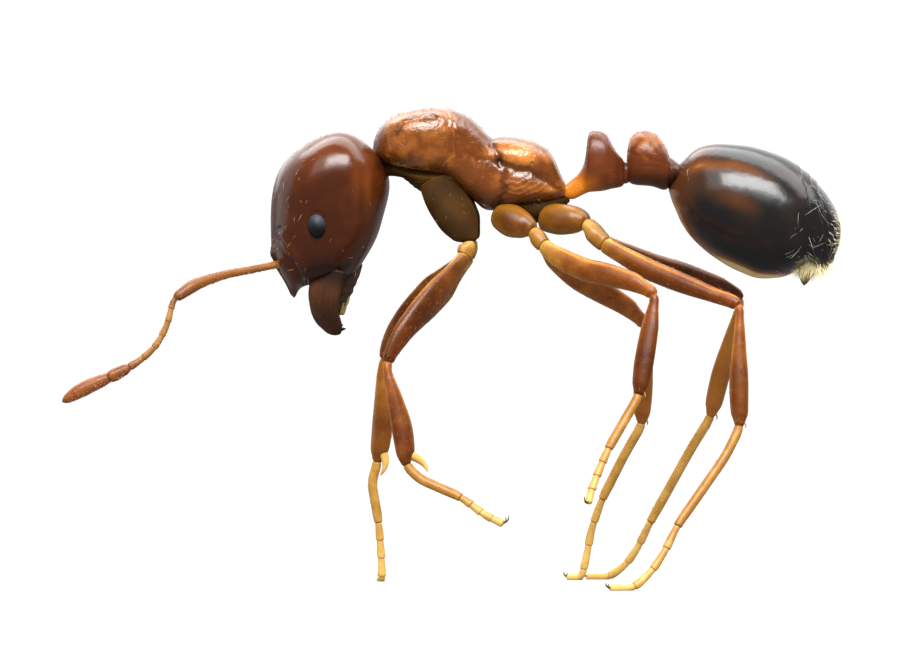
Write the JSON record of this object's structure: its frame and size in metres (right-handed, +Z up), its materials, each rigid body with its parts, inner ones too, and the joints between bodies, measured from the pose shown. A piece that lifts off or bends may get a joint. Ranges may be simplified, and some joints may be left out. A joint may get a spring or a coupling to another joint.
{
  "type": "fire ant",
  "caption": "Life-size still model of a fire ant worker in mid stride, its head bent down and its feelers reaching forward.",
  "frame": {"origin": "on the floor, under the middle of the model's bounding box", "axes": "+X towards the tail and -X towards the head, +Y towards the ant's right, +Z up from the floor"},
  "size_m": [0.0066, 0.0034, 0.004],
  "materials": {
    "head": "gloss",
    "jaw": "gloss",
    "eye": "gloss",
    "trunk": "gloss",
    "waist": "gloss",
    "gaster": "gloss",
    "sting": "satin",
    "leg": "gloss",
    "foot": "satin",
    "feeler": "satin"
  },
  "bodies": {
    "root": {"head": "head", "eye_left": "eye", "eye_right": "eye", "mandible_left": "jaw", "mandible_right": "jaw", "mouthparts": "jaw", "antenna_left_scape": "feeler", "antenna_left_funiculus": "feeler", "antenna_left_club": "feeler", "antenna_right_scape": "feeler", "antenna_right_funiculus": "feeler", "antenna_right_club": "feeler", "pronotum": "trunk", "mesonotum": "trunk", "propodeum": "trunk", "propleuron": "trunk", "petiole": "waist", "postpetiole": "waist", "gaster_1": "gaster", "gaster_2": "gaster", "gaster_3": "gaster", "gaster_4": "gaster", "sting": "sting", "leg_fore_left_coxa": "leg", "leg_fore_left_trochanter": "foot", "leg_fore_left_femur": "leg", "leg_fore_left_tibia": "leg", "leg_fore_left_basitarsus": "foot", "leg_fore_left_toes": "foot", "leg_fore_right_coxa": "leg", "leg_fore_right_trochanter": "foot", "leg_fore_right_femur": "leg", "leg_fore_right_tibia": "leg", "leg_fore_right_basitarsus": "foot", "leg_fore_right_toes": "foot", "leg_mid_left_coxa": "leg", "leg_mid_left_trochanter": "foot", "leg_mid_left_femur": "leg", "leg_mid_left_tibia": "leg", "leg_mid_left_basitarsus": "foot", "leg_mid_left_toes": "foot", "leg_mid_right_coxa": "leg", "leg_mid_right_trochanter": "foot", "leg_mid_right_femur": "leg", "leg_mid_right_tibia": "leg", "leg_mid_right_basitarsus": "foot", "leg_mid_right_toes": "foot", "leg_hind_left_coxa": "leg", "leg_hind_left_trochanter": "foot", "leg_hind_left_femur": "leg", "leg_hind_left_tibia": "leg", "leg_hind_left_basitarsus": "foot", "leg_hind_left_toes": "foot", "leg_hind_right_coxa": "leg", "leg_hind_right_trochanter": "foot", "leg_hind_right_femur": "leg", "leg_hind_right_tibia": "leg", "leg_hind_right_basitarsus": "foot", "leg_hind_right_toes": "foot"}
  },
  "joints": []
}
